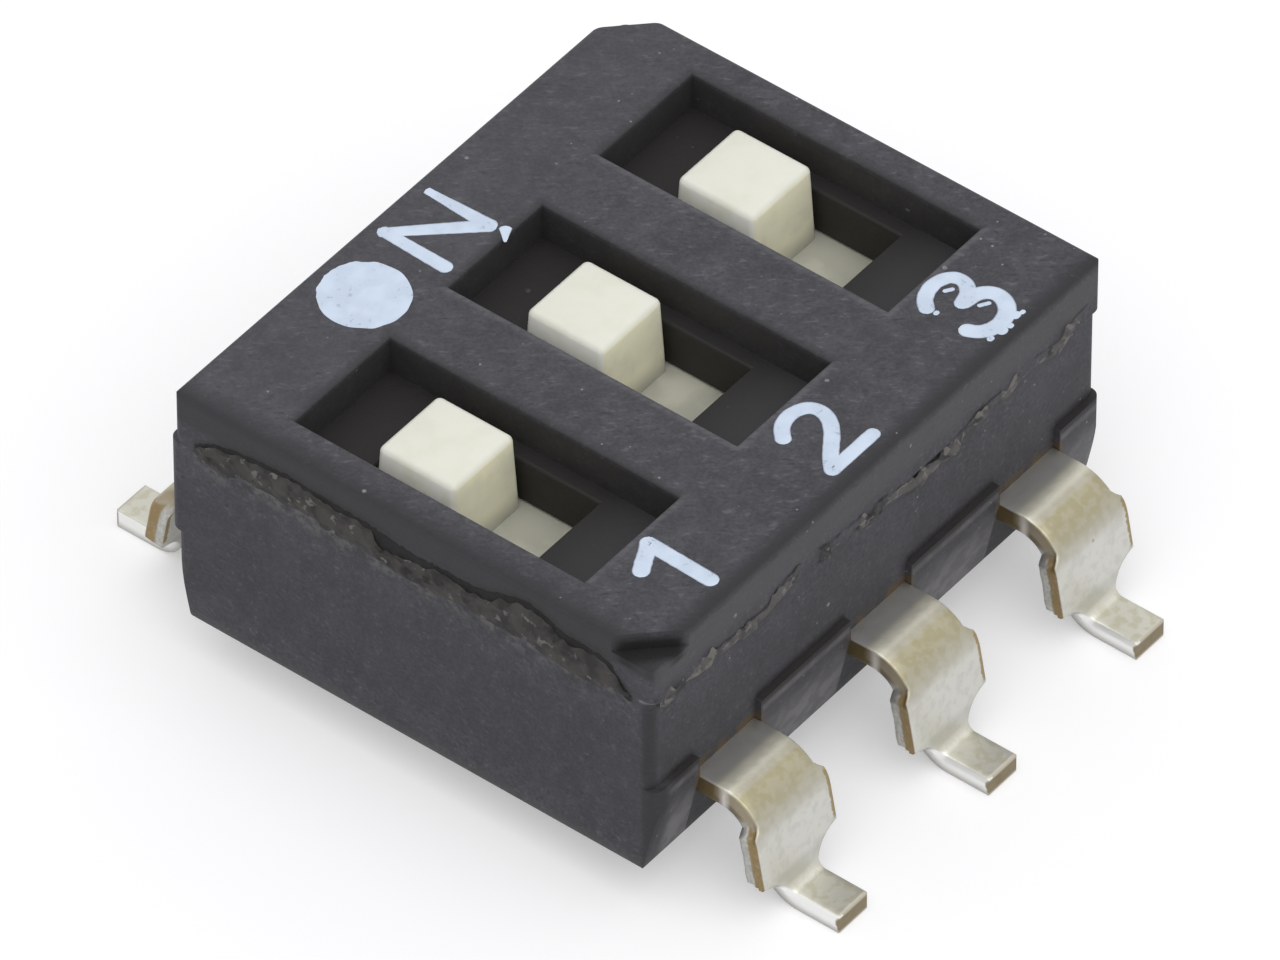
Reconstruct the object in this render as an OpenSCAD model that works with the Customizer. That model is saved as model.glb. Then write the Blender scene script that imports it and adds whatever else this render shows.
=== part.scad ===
// Three-way slide switch in a surface-mount package, with gull-wing terminals.
// X runs along the row from switch 1 to switch 3, +Y is the ON side and Z is up.
// The origin lies on the board plane, under the middle of the package.
// Every size is in millimetres.

/* [Row] */
// Distance from one switch to the next
pitch = 2.54; // [2.45:0.01:2.7]
// From the middle of an end switch to the end face of the body
end_reach = 1.24; // [1.2:0.01:1.5]

/* [Cover] */
// Width of the cover across the two rows of terminals
cover_w = 6.36; // [6.25:0.01:6.8]
// Height of the cover's side wall above the seam
cover_side_h = 0.7; // [0.62:0.01:0.8]
// Radius of the upright corners of cover and base
corner_r = 0.13; // [0.08:0.01:0.2]
// Radius along the cover's top edges
top_r = 0.1; // [0.05:0.01:0.15]
// Leg of the notch across two diagonal corners
notch_leg = 0.58; // [0.45:0.01:0.7]
// Depth of the notch by switch 1 below the top
notch_d = 0.23; // [0.15:0.01:0.35]
// Depth of the other notch, by the last switch
far_notch_d = 0.32; // [0.15:0.01:0.35]

/* [Windows] */
// Width of a window along the row
window_w = 1.57; // [1.45:0.01:1.7]
// Length of a window along the slider's travel
window_l = 3.81; // [3.5:0.01:4.2]
// Depth of a window down to the web
window_d = 0.49; // [0.42:0.01:0.55]
// Radius of the edge round a window and a slot
lip_r = 0.04; // [0.02:0.01:0.06]
// Thickness of the web under a window
web_t = 0.57; // [0.5:0.01:0.65]
// Gap between a knob and the sides of its slot
slot_gap = 0.09; // [0.08:0.01:0.12]
// How far a slot sits from the middle of its window towards ON
slot_shift = 0.08; // [0:0.01:0.15]

/* [Sliders] */
// Width of a knob's top along the row
knob_w = 1.02; // [0.9:0.01:1.1]
// Length of a knob's top along its travel
knob_l = 1.02; // [0.9:0.01:1.1]
// How far a knob's top lies below the top of the cover
knob_recess = 0.07; // [0.03:0.01:0.2]
// Draft of a knob's sides in degrees
knob_draft = 2.3; // [1:0.1:3]
// Radius of a knob's edges
knob_edge_r = 0.08; // [0.05:0.01:0.12]
// Travel of a knob from OFF to ON
travel = 1.02; // [0.85:0.01:1.1]
// Gap left at each end of the travel
stop_gap = 0.02; // [0.01:0.01:0.05]
// How far the first slider stands short of ON
first_short = 0.06; // [0:0.01:0.2]
// Width of a slider's carriage
carriage_w = 1.6; // [1.5:0.01:1.7]
// How far a carriage still covers the end of its slot
carriage_lap = 0.05; // [0.03:0.01:0.1]
// Thickness of a carriage's roof
roof_t = 0.35; // [0.3:0.01:0.45]
// Thickness of a carriage's side and end walls
carriage_wall = 0.25; // [0.2:0.01:0.3]
// Running gap above and beside a carriage
run_gap = 0.03; // [0.02:0.01:0.06]
// Running gap under a carriage
sole_gap = 0.05; // [0.03:0.01:0.08]
// Diameter of the stake that holds a contact in its carriage
stake_d = 0.36; // [0.3:0.01:0.45]

/* [Contacts] */
// Width of the spring strip
contact_w = 0.9; // [0.8:0.01:1]
// Thickness of the spring strip
contact_t = 0.1; // [0.08:0.01:0.14]
// Length of its flat middle
contact_flat = 0.9; // [0.8:0.01:1]
// From its middle to the lowest point of a foot
contact_reach = 1.1; // [1:0.01:1.15]
// Radius inside its bends
contact_bend = 0.1; // [0.08:0.01:0.14]
// Rise of the foot's tip past the lowest point, in degrees
contact_tip = 50; // [35:1:60]
// Straight length of that tip
contact_tail = 0.05; // [0.02:0.01:0.08]
// Gap between a foot and the pad under it
touch_gap = 0.03; // [0.02:0.01:0.05]
// How far a closed contact overlaps the pad on the side of the numbers
pad_lap = 0.3; // [0.2:0.01:0.35]
// How far an open contact stands clear of the pad on the ON side
break_gap = 0.3; // [0.2:0.01:0.35]

/* [Base] */
// Height of the base between its underside and the seam
base_h = 2.5; // [2.45:0.01:2.7]
// Gap between the board and the underside of the base
standoff = 0.55; // [0.45:0.01:0.65]
// Thickness of the floor under the terminals
floor_t = 0.71; // [0.65:0.01:0.8]
// Thickness of the rim round the cover's plug, at the ends of the row
rim_t = 0.39; // [0.34:0.01:0.39]
// Thickness of the rim round the cover's plug, along the two sides
rim_side_t = 0.4; // [0.34:0.01:0.45]
// Gap between the rim and the plug
plug_gap = 0.03; // [0.02:0.01:0.05]
// Gap between the rim's ledge and the underside of the plug
seat_gap = 0.03; // [0.02:0.01:0.06]
// How far the upper half of the base stands over towards ON
half_shift = 0.06; // [0:0.01:0.08]
// How far the lower half stands back from it
mould_step = 0.08; // [0.04:0.01:0.1]
// Height of the mould's parting line over the tops of the terminals
step_rise = 0.27; // [0.2:0.01:0.35]
// Height of the upright band under the parting line
band_h = 0.29; // [0.2:0.01:0.35]
// Draft of the two long sides below that band, in degrees
side_draft = 11.5; // [8:0.5:13]
// Radius along the bottom edges
foot_r = 0.1; // [0.05:0.01:0.15]
// Radius of the upright corners inside the base
inner_r = 0.15; // [0.1:0.01:0.2]

/* [Terminals] */
// Thickness of the terminal sheet
lead_t = 0.25; // [0.22:0.01:0.28]
// Width of a terminal where it leaves the base
lead_w = 1.03; // [0.9:0.01:1.1]
// How much wider each side is at the ears
ear_w = 0.1; // [0.06:0.01:0.15]
// Drop from the terminal's top to the start of an ear
ear_drop = 0.19; // [0.12:0.01:0.25]
// Height of the slanted top of an ear
ear_slope = 0.09; // [0.05:0.01:0.12]
// From the side of the cover to the middle of the upper bend
shoulder_out = 0.28; // [0.24:0.01:0.4]
// Radius inside the upper bend
upper_bend = 0.35; // [0.25:0.01:0.38]
// Distance out from the middle of one bend to the other
leg_run = 0.83; // [0.82:0.01:1]
// Radius inside the lower bend
lower_bend = 0.12; // [0.1:0.01:0.15]
// Flat length of a foot beyond its bend
foot_l = 0.54; // [0.4:0.01:0.6]
// Width of a foot
foot_w = 0.43; // [0.38:0.01:0.5]
// Height above the board at which the ears end
ear_foot = 0.48; // [0.44:0.01:0.55]
// Radius of the hollow between an ear and the foot
neck_r = 0.42; // [0.35:0.01:0.5]
// Height of the middle of that hollow above the board
neck_z = 0.16; // [0.14:0.01:0.18]

/* [Hidden] */
$fn = 64;
eps = 0.01;
black = [0.23, 0.23, 0.24];
cream = [0.9, 0.9, 0.84];
tin = [0.72, 0.71, 0.66];
copper = [0.78, 0.62, 0.36];
places = [-1, 0, 1];

// The stack from the board up
lead_z = standoff + floor_t;
floor_z = lead_z + lead_t;
parting_z = floor_z + step_rise;
seam_z = standoff + base_h;
top_z = seam_z + cover_side_h;
web_top = top_z - window_d;
web_under = web_top - web_t;
ledge_z = web_under - seat_gap;
knob_top = top_z - knob_recess;
carriage_top = web_under - run_gap;
carriage_foot = floor_z + sole_gap;
pocket_roof = carriage_top - roof_t;

// The plan
body_l = 2 * (pitch + end_reach);
knob_grow = (knob_top - carriage_top) * tan(knob_draft);
knob_foot_w = knob_w + 2 * knob_grow;
knob_foot_l = knob_l + 2 * knob_grow;
slot_w = knob_w + 2 * slot_gap;
slot_l = knob_foot_l + travel + 2 * stop_gap;
knob_on = slot_shift + travel / 2;
knob_off = slot_shift - travel / 2;
carriage_l = slot_l + travel + 2 * carriage_lap;
channel_w = carriage_w + 2 * run_gap;
channel_l = carriage_l + travel + 2 * (stop_gap + run_gap);
plug_l = body_l - 2 * (rim_t + plug_gap);
plug_w = cover_w - 2 * (rim_side_t + plug_gap);
pad_a_end = knob_on - contact_reach + pad_lap;
pad_b_end = knob_off + contact_reach + break_gap;
bend_y = cover_w / 2 + shoulder_out;
tip_y = bend_y + leg_run + foot_l;

// Plain helpers
module block(x, y, z0, z1) {
    translate([-x / 2, -y / 2, z0])
        cube([x, y, z1 - z0]);
}

module rounded_rect(x, y, r) {
    square([x, y - 2 * r], center = true);
    square([x - 2 * r, y], center = true);
    for (i = [-1, 1], j = [-1, 1])
        translate([i * (x / 2 - r), j * (y / 2 - r)])
            circle(r);
}

module rounded_block(x, y, z0, z1, r) {
    translate([0, 0, z0])
        linear_extrude(z1 - z0)
            rounded_rect(x, y, r);
}

// Carries a profile drawn in X and Z along Y, over the length given
module along_y(l) {
    translate([0, l / 2, 0])
        rotate([90, 0, 0])
            linear_extrude(l)
                children();
}

// Carries a profile drawn in Y and Z along X, over the length given
module along_x(l) {
    translate([-l / 2, 0, 0])
        rotate([90, 0, 90])
            linear_extrude(l)
                children();
}

// A side view with its two upper corners rounded
module crowned(w, z0, z1, r) {
    translate([-w / 2, z0])
        square([w, z1 - r - z0]);
    translate([-w / 2 + r, z1 - 2 * r])
        square([w - 2 * r, 2 * r]);
    for (i = [-1, 1])
        translate([i * (w / 2 - r), z1 - r])
            circle(r);
}

// The side view of an opening whose upper edge flares out round a lip
module flared(w, z0, z1, r) {
    difference() {
        translate([-w / 2 - r, z0])
            square([w + 2 * r, z1 - z0 + eps]);
        for (i = [-1, 1]) {
            translate([i * (w / 2 + r), z1 - r])
                circle(r);
            translate([i * (w / 2 + r) - r, z0 - eps])
                square([2 * r, z1 - r - z0 + eps]);
        }
    }
}

// A rectangular opening with that lip on all four sides
module opening(x, y, z0, z1, r) {
    intersection() {
        along_y(y + 4 * r)
            flared(x, z0, z1, r);
        along_x(x + 4 * r)
            flared(y, z0, z1, r);
    }
}

// A formed strip of constant thickness, w wide along X: a level run out along Y, a bend down
// round the point c1, a straight leg, a bend back round the point c2 until the strip rises by
// the angle tip, and a straight tail. leg_angle is how far the leg turns from level, and sum
// is the two bend radii of one surface of the strip together.
function leg_angle(c1, c2, sum) =
    asin(sum / norm(c2 - c1)) + atan2(c1[1] - c2[1], c2[0] - c1[0]);

// All that lies below one surface of the strip, which has radius r1 round c1 and r2 round c2
module below(w, start, c1, c2, r1, r2, tip, tail, deep) {
    a = leg_angle(c1, c2, r1 + r2);
    side = [sin(a), cos(a)];
    down = [sin(tip), -cos(tip)];
    end = c2 + r2 * down + tail * [cos(tip), sin(tip)];
    difference() {
        union() {
            along_x(w)
                polygon([[start, c1[1] + r1], [c1[0], c1[1] + r1], c1 + r1 * side,
                         c2 - r2 * side, c2, c2 + r2 * down, end, end + deep * down,
                         [start, -deep]]);
            along_x(w)
                translate(c1)
                    circle(r1);
        }
        along_x(w + 2 * eps)
            translate(c2)
                circle(r2);
    }
}

module formed_strip(w, start, c1, c2, t, ri1, ri2, tip, tail) {
    difference() {
        below(w, start, c1, c2, ri1 + t, ri2, tip, tail, 2);
        below(w + 2 * eps, start - eps, c1, c2, ri1, ri2 + t, tip, tail + eps, 4);
    }
}

// Cover: a capped block with windows, slots, two diagonal notches and a plug underneath
module cover_envelope() {
    intersection() {
        rounded_block(body_l, cover_w, seam_z, top_z, corner_r);
        along_y(cover_w)
            crowned(body_l, seam_z, top_z, top_r);
        along_x(body_l)
            crowned(cover_w, seam_z, top_z, top_r);
    }
}

module corner_notch(d) {
    translate([-body_l / 2, -cover_w / 2, top_z - d])
        linear_extrude(d + eps)
            polygon([[-eps, -eps], [notch_leg, -eps], [-eps, notch_leg]]);
}

module cover() {
    color(black)
        difference() {
            union() {
                cover_envelope();
                rounded_block(plug_l, plug_w, web_under, seam_z + eps, inner_r);
            }
            corner_notch(notch_d);
            rotate([0, 0, 180])
                corner_notch(far_notch_d);
            for (i = places)
                translate([i * pitch, 0, 0]) {
                    opening(window_w, window_l, web_top, top_z, lip_r);
                    translate([0, slot_shift, 0])
                        opening(slot_w, slot_l, web_under - eps, web_top, lip_r);
                }
        }
}

// Base: two mould halves that meet at a stepped parting line, hollowed for the sliders
module upper_half() {
    translate([0, half_shift, 0])
        rounded_block(body_l, cover_w, lead_z, seam_z, corner_r);
}

module lower_side() {
    w = cover_w / 2;
    drop = parting_z - band_h - standoff;
    lean = drop * tan(side_draft);
    turn = foot_r * tan((90 - side_draft) / 2);
    side = [w - lean + turn * sin(side_draft), standoff + turn * cos(side_draft)];
    under = w - lean - turn;
    polygon([[-w, parting_z], [-w, parting_z - band_h], [-side[0], side[1]], [-under, standoff],
             [under, standoff], [side[0], side[1]], [w, parting_z - band_h], [w, parting_z]]);
    for (i = [-1, 1])
        translate([i * under, standoff + foot_r])
            circle(foot_r);
}

module lower_end() {
    translate([0, standoff + parting_z])
        rotate(180)
            crowned(body_l, standoff, parting_z, foot_r);
}

module lower_half() {
    translate([0, half_shift - mould_step, 0])
        intersection() {
            rounded_block(body_l, cover_w, standoff, parting_z, corner_r);
            along_x(body_l)
                lower_side();
            along_y(cover_w)
                lower_end();
        }
}

// What belongs to the upper mould half: all above the parting line, and a tongue of the
// width of a terminal that reaches down to the top of each terminal
module upper_zone() {
    block(2 * body_l, 2 * cover_w, parting_z, seam_z);
    for (i = places, j = [-1, 1])
        translate([i * pitch, j * cover_w / 2, 0])
            block(lead_w, cover_w / 2, floor_z, parting_z + eps);
}

module channel() {
    translate([0, slot_shift, 0])
        rounded_block(channel_w, channel_l, floor_z, seam_z, inner_r);
}

module plug_recess() {
    rounded_block(plug_l + 2 * plug_gap, plug_w + 2 * plug_gap, ledge_z, seam_z + eps, inner_r);
}

// The straight run of a terminal, from the inner end of its pad to outside the body
module lead_run(inner) {
    translate([-lead_w / 2, inner, lead_z])
        cube([lead_w, bend_y - inner, lead_t]);
}

module base() {
    color(black)
        difference() {
            union() {
                intersection() {
                    upper_half();
                    upper_zone();
                }
                difference() {
                    lower_half();
                    upper_zone();
                }
            }
            plug_recess();
            for (i = places)
                translate([i * pitch, 0, 0]) {
                    channel();
                    lead_run(pad_b_end);
                    rotate([0, 0, 180])
                        lead_run(-pad_a_end);
                }
        }
}

// Slider: a knob on a carriage that is hollow underneath, with a stake for the contact
module knob() {
    r = knob_edge_r;
    hull() {
        for (i = [-1, 1], j = [-1, 1]) {
            translate([i * (knob_w / 2 - r), j * (knob_l / 2 - r), knob_top - r])
                sphere(r, $fn = 24);
            translate([i * (knob_foot_w / 2 - r), j * (knob_foot_l / 2 - r), carriage_top])
                cylinder(h = eps, r = r, $fn = 24);
        }
    }
}

module slider(i, y) {
    color(cream)
        translate([i * pitch, y, 0]) {
            knob();
            difference() {
                rounded_block(carriage_w, carriage_l, carriage_foot, carriage_top, inner_r);
                block(carriage_w - 2 * carriage_wall, carriage_l - 2 * carriage_wall,
                      carriage_foot - eps, pocket_roof);
            }
            translate([0, 0, pocket_roof - 2 * contact_t])
                cylinder(h = 2 * contact_t + eps, d = stake_d);
        }
}

// Contact: a bowed spring strip, held at its middle, with a rounded foot at each end
module contact_side() {
    ro = contact_bend + contact_t;
    c1 = [contact_flat / 2, pocket_roof - ro];
    c2 = [contact_reach, floor_z + touch_gap + ro];
    formed_strip(contact_w, -eps, c1, c2, contact_t, contact_bend, contact_bend,
                 contact_tip, contact_tail);
}

module contact(i, y) {
    color(copper)
        translate([i * pitch, y, 0])
            difference() {
                for (turn = [0, 180])
                    rotate([0, 0, turn])
                        contact_side();
                translate([0, 0, pocket_roof - 2 * contact_t])
                    cylinder(h = 3 * contact_t, d = stake_d);
            }
}

// Terminal: a blanked strip with ears and a narrow foot, formed as a gull wing.
// It is drawn on the ON side and turned round for the side of the numbers.
module lead_strip(inner) {
    c1 = [bend_y, floor_z - lead_t - upper_bend];
    c2 = [bend_y + leg_run, lead_t + lower_bend];
    formed_strip(lead_w + 2 * ear_w, inner, c1, c2, lead_t, upper_bend, lower_bend, 0, foot_l);
}

module lead_front() {
    w = lead_w / 2 + ear_w;
    f = foot_w / 2;
    ear_z = floor_z - ear_drop;
    square_z = ear_z - ear_slope;
    translate([-lead_w / 2, square_z])
        square([lead_w, floor_z - square_z]);
    difference() {
        polygon([[-lead_w / 2, ear_z], [-w, square_z], [-w, ear_foot], [-f, 0],
                 [f, 0], [w, ear_foot], [w, square_z], [lead_w / 2, ear_z]]);
        for (i = [-1, 1])
            translate([i * (f + neck_r), neck_z])
                circle(neck_r);
    }
    translate([-f, 0])
        square([foot_w, ear_foot]);
}

module terminal(inner) {
    color(tin) {
        intersection() {
            lead_strip(inner);
            union() {
                translate([0, tip_y / 2 + bend_y, 0])
                    along_y(tip_y)
                        lead_front();
                block(lead_w, 4 * bend_y, lead_z, floor_z);
            }
        }
    }
}

module terminal_b(i) {
    translate([i * pitch, 0, 0])
        terminal(pad_b_end);
}

module terminal_a(i) {
    translate([i * pitch, 0, 0])
        rotate([0, 0, 180])
            terminal(-pad_a_end);
}

cover();
base();
slider(-1, knob_on - first_short);  // slider_1
slider(0, knob_on);  // slider_2
slider(1, knob_on);  // slider_3
contact(-1, knob_on - first_short);  // contact_1
contact(0, knob_on);  // contact_2
contact(1, knob_on);  // contact_3
terminal_a(-1);  // terminal_1a
terminal_a(0);  // terminal_2a
terminal_a(1);  // terminal_3a
terminal_b(-1);  // terminal_1b
terminal_b(0);  // terminal_2b
terminal_b(1);  // terminal_3b
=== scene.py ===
# %% [markdown]
# # A row of three slide switches
#
# The real object is about as big as a fingernail: a black moulded lid and tray, three cream
# sliders in sunk windows, and six formed metal terminals. Its solids come ready at their real
# size, so this lesson gives them their finishes, prints the lettering and adds what a solid
# doesn't show: the rough bead of the weld, worn ink and blanked edges of the metal.

# %% Load the solids
from math import asin, atan2, cos, degrees, hypot, radians, sin, sqrt

import bpy
from mathutils import Matrix, Vector, noise


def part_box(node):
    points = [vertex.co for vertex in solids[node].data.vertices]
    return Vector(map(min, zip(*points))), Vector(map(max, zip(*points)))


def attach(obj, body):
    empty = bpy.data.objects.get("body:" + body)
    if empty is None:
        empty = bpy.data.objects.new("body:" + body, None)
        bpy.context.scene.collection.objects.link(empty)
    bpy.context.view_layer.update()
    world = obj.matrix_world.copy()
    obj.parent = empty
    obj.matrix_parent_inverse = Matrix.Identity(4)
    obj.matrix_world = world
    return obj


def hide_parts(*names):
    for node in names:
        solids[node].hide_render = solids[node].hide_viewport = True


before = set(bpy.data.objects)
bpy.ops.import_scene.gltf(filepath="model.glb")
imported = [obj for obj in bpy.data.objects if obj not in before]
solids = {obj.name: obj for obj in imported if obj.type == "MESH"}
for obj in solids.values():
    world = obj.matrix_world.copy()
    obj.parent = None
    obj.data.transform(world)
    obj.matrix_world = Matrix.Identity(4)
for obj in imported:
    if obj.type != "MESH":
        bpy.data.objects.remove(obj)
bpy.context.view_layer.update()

# %% [markdown]
# ## Sizes
#
# Blender counts in metres and this part is measured in millimetres, so one constant turns the
# one into the other. The values below repeat sizes of the solids.

# %% Sizes of the part
MM = 0.001
PITCH = 2.54
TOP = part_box("cover")[1].z / MM
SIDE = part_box("cover")[1].x / MM
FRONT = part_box("cover")[1].y / MM
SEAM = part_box("base")[1].z / MM
WINDOW_W = 1.57
WINDOW_L = 3.81
print("cover to", SIDE, FRONT, TOP, "mm, rim of the tray at", SEAM, "mm")

# %% [markdown]
# ## Camera
#
# Small parts are photographed from far away with a long lens, so that parallel edges stay
# nearly parallel. The camera stands 200 mm away on a line given by its azimuth and its
# elevation, and a 542 mm lens fills the picture. Its three axes are written out as the
# columns of a matrix, which is exact and needs no target object.

# %% Add the camera
AZIMUTH, ELEVATION, ROLL = radians(-51.834), radians(44.439), radians(0.038)
AWAY = 200
LENS = 542.22
AIM_RIGHT, AIM_DOWN, AIM_HEIGHT = 0.0098, 1.621, 3.75

back = Vector((sin(AZIMUTH) * cos(ELEVATION), -cos(AZIMUTH) * cos(ELEVATION), sin(ELEVATION)))
level = Vector((cos(AZIMUTH), sin(AZIMUTH), 0))
right = level * cos(ROLL) + back.cross(level) * sin(ROLL)
up = back.cross(right)

bpy.ops.object.camera_add()
camera = bpy.context.object
camera.name = "camera"
camera.data.lens = LENS
camera.data.sensor_width = 36
camera.data.clip_start = 0.01
camera.data.clip_end = 10
place = (back * AWAY + right * AIM_RIGHT - up * AIM_DOWN + Vector((0, 0, AIM_HEIGHT))) * MM
camera.matrix_world = Matrix.Translation(place) @ Matrix((right, up, back)).transposed().to_4x4()
bpy.context.scene.camera = camera
bpy.context.scene.view_settings.view_transform = "Standard"
print("camera at", place)

# %% [markdown]
# ## A small language for shaders
#
# A shader is a graph of nodes, and a graph is hard to read as code. The class below wraps one
# socket and lets Python's own signs add the Math nodes, so that a mask is written as the sum
# that it is. Colours go through Mix nodes, because Math nodes would turn them grey.

# %% Wrap a socket
class Wire:
    """A value, vector or colour on its way through a node tree."""

    def __init__(self, tree, socket=None):
        self.tree = tree
        self.socket = socket

    def node(self, kind, settings=None, sockets=None, out=0):
        """Adds a node of any kind and returns one of its outputs."""
        made = self.tree.nodes.new(kind)
        for name, value in (settings or {}).items():
            if name == "points":
                curve = made.mapping.curves[0]
                for i, point in enumerate(value):
                    spot = curve.points[i] if i < 2 else curve.points.new(*point)
                    spot.location = point
                    spot.handle_type = "VECTOR"
                made.mapping.update()
            else:
                setattr(made, name, value)
        for name, value in (sockets or {}).items():
            if isinstance(value, Wire):
                self.tree.links.new(value.socket, made.inputs[name])
            else:
                made.inputs[name].default_value = value
        return Wire(self.tree, made.outputs[out])

    def math(self, operation, *values):
        return self.node("ShaderNodeMath", {"operation": operation}, dict(enumerate(values)))

    def __add__(self, other):
        return self.math("ADD", self, other)

    def __sub__(self, other):
        return self.math("SUBTRACT", self, other)

    def __rsub__(self, other):
        return self.math("SUBTRACT", other, self)

    def __mul__(self, other):
        return self.math("MULTIPLY", self, other)

    def __truediv__(self, other):
        return self.math("DIVIDE", self, other)

    def __abs__(self):
        return self.math("ABSOLUTE", self)

    __radd__ = __add__
    __rmul__ = __mul__

    def most(self, other):
        return self.math("MAXIMUM", self, other)

    def rise(self, low, high):
        """0 below low, 1 above high and a smooth step between them."""
        return self.node("ShaderNodeMapRange", {"interpolation_type": "SMOOTHSTEP"},
                         {"Value": self, "From Min": low, "From Max": high})

    def fall(self, low, high):
        return 1 - self.rise(low, high)

    def near(self, middle, reach):
        """1 at middle, fading to 0 at reach on both sides."""
        return abs(self - middle).fall(0, reach)

    def tint(self, colour_a, colour_b):
        """colour_a where this mask is 0 and colour_b where it is 1."""
        return self.node("ShaderNodeMix", {"data_type": "RGBA"},
                         {0: self, 6: colour_a, 7: colour_b}, out=2)


print("wires can be added, multiplied and used as a tint")

# %% [markdown]
# Most colours here were chosen as a paint chart gives them, from 0 to 255. Blender mixes
# light, not paint numbers, so each one goes through the sRGB curve of a screen first.
#
# A finish is one material. It knows where a point is on the part in millimetres, and it
# offers the patterns that the plastics and the metal share: clouds, streaks and specks. With
# a `TEXTURE` mapping the scale of the streaks is their size, and with a `POINT` mapping it is
# how many of them fit in a millimetre.

# %% Colours and a new material
def tone(red, green, blue):
    """A paint-chart colour as the linear colour that Blender mixes."""
    parts = [part / 255 for part in (red, green, blue)]
    return tuple(p / 12.92 if p < 0.04045 else ((p + 0.055) / 1.055) ** 2.4 for p in parts) + (1,)


class Finish:
    """A material, its shader, and where a point is on the part, in millimetres."""

    def __init__(self, name, **uniform):
        self.material = bpy.data.materials.new(name)
        self.material.use_nodes = True
        self.tree = self.material.node_tree
        self.shader = self.tree.nodes["Principled BSDF"]
        for socket, value in uniform.items():
            self.shader.inputs[socket.replace("_", " ")].default_value = value
        start = Wire(self.tree)
        point = start.node("ShaderNodeTexCoord", out=3)
        self.at = start.node("ShaderNodeVectorMath", {"operation": "SCALE"},
                             {0: point, 3: 1 / MM})
        self.x, self.y, self.z = [self.part_of(self.at, axis) for axis in range(3)]

    def part_of(self, vector, axis):
        """One number of a vector: 0 is x, 1 is y and 2 is z."""
        return self.at.node("ShaderNodeSeparateXYZ", sockets={0: vector}, out=axis)

    def facing(self, axis):
        """How far the surface faces along an axis, from -1 to 1."""
        return self.part_of(self.at.node("ShaderNodeNewGeometry", out="Normal"), axis)

    def own_x(self):
        """The place along the row, counted from the middle of a point's own switch."""
        return self.at.node("ShaderNodeMath", {"operation": "WRAP"},
                            {0: self.x, 1: PITCH / 2, 2: -PITCH / 2})

    def grain(self, per_mm, detail=3):
        """Cloudy noise about 0.5, with so many clouds to the millimetre."""
        return self.at.node("ShaderNodeTexNoise",
                            sockets={"Vector": self.at, "Scale": per_mm, "Detail": detail})

    def streaks(self, scale, detail, turn=0, kind="POINT"):
        """Cloudy noise drawn out along an axis and turned in the level plane."""
        drawn = self.at.node("ShaderNodeMapping", {"vector_type": kind},
                             {"Vector": self.at, "Rotation": (0, 0, turn), "Scale": scale})
        return self.at.node("ShaderNodeTexNoise",
                            sockets={"Vector": drawn, "Scale": 1.0, "Detail": detail})

    def specks(self, per_mm, size, share):
        """Round specks of a size in millimetres in a share of the cells of a random grid."""
        sockets = {"Vector": self.at, "Scale": per_mm}
        far = self.at.node("ShaderNodeTexVoronoi", {"feature": "F1"}, sockets, out="Distance")
        pick = self.at.node("ShaderNodeTexVoronoi", {"feature": "F1"}, sockets, out="Color")
        chance = self.part_of(pick, 0)
        spot = far.fall(size * per_mm * 0.6, size * per_mm * 1.4)
        return spot * chance.fall(share, share + 0.01)

    def relief(self, height, strength, depth_mm):
        """Turns a height mask into bumps of a depth in millimetres."""
        bump = self.at.node("ShaderNodeBump",
                            sockets={"Strength": strength, "Distance": depth_mm * MM,
                                     "Height": height})
        self.feed("Normal", bump)

    def feed(self, socket, wire):
        self.tree.links.new(wire.socket, self.shader.inputs[socket])


print("a mid grey of the chart is", round(tone(128, 128, 128)[0], 3), "in linear light")

# %% [markdown]
# ## Floor and light
#
# The part lies on a pale sheet in an even, soft light. A world of one plain white gives the
# soft part of that light at any scale, and a sun with a wide angle gives the tops a little
# more than the sides. The sheet shows white to the camera, but it is still a real surface
# that catches the shadow of the part.

# %% Add the floor and the light
WORLD_LIGHT = 0.62
SUN_LIGHT = 1.35
MIRRORED = 0.6
SHEET_GLOW = 0.36


def seen_directly(wire):
    """1 for the camera's own rays, less for mirrored ones and 0 for the rest."""
    camera_ray = wire.node("ShaderNodeLightPath", out="Is Camera Ray")
    mirror_ray = wire.node("ShaderNodeLightPath", out="Is Glossy Ray")
    return camera_ray.most(mirror_ray * MIRRORED)


world = bpy.data.worlds.new("studio")
world.use_nodes = True
bpy.context.scene.world = world
background = world.node_tree.nodes["Background"]
background.inputs["Color"].default_value = (1, 1, 1, 1)
sky = Wire(world.node_tree)
strength = WORLD_LIGHT + (1 - WORLD_LIGHT) * seen_directly(sky)
world.node_tree.links.new(strength.socket, background.inputs["Strength"])

bpy.ops.object.light_add(type="SUN", rotation=(radians(18), radians(-14), 0))
sun = bpy.context.object
sun.name = "soft_sun"
sun.data.energy = SUN_LIGHT
sun.data.angle = radians(70)

bpy.ops.mesh.primitive_plane_add(size=0.8)
floor = bpy.context.object
floor.name = "floor"
sheet = Finish("pale_sheet", Roughness=0.9, Specular_IOR_Level=0.1)
sheet.shader.inputs["Base Color"].default_value = tone(214, 214, 216)
sheet.shader.inputs["Emission Color"].default_value = (1, 1, 1, 1)
sheet.feed("Emission Strength", seen_directly(sheet.at) * SHEET_GLOW)
floor.data.materials.append(sheet.material)
print("world", WORLD_LIGHT, "sun", SUN_LIGHT)

# %% [markdown]
# ## Smooth skins for the solids
#
# The solids arrive as loose triangles, which would show every facet of a round edge. Three
# modifiers mend that and leave the mesh as it is: Weld joins the triangles, Edge Split keeps
# the sharp creases, and Weighted Normal lets the large flat faces rule the shading.

# %% Smooth the moulded and sprung solids
CREASE = 32
SAME_POINT = 0.0002


def shade_smooth(piece):
    for face in piece.data.polygons:
        face.use_smooth = True


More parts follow.
